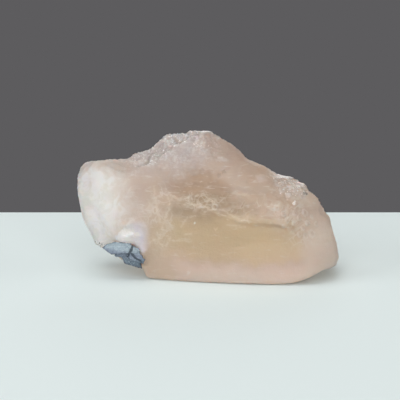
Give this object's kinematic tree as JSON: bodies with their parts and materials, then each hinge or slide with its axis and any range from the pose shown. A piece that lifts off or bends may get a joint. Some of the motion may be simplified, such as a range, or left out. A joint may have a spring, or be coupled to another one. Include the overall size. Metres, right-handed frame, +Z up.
{
  "type": "rough morganite",
  "caption": "Rough piece of frosted, peach-pink morganite crystal with a pitted crest, a milky left lobe and a scrap of blue-grey host rock in a pocket under it.",
  "frame": {"origin": "middle of the stone's outline seen from above, on the surface it rests on", "axes": "+Z up, +X along the stone's length with the left lobe at -X, -Y towards the side with the host rock"},
  "size_m": [0.07, 0.0314, 0.0386],
  "materials": {
    "morganite": "natural frosted and etched beryl, translucent, pale peach-pink with a honey band and milky veils",
    "host_rock": "rough broken blue-grey rock"
  },
  "bodies": {
    "root": {"morganite_crystal": "morganite", "host_rock_scrap": "host_rock"}
  },
  "joints": []
}
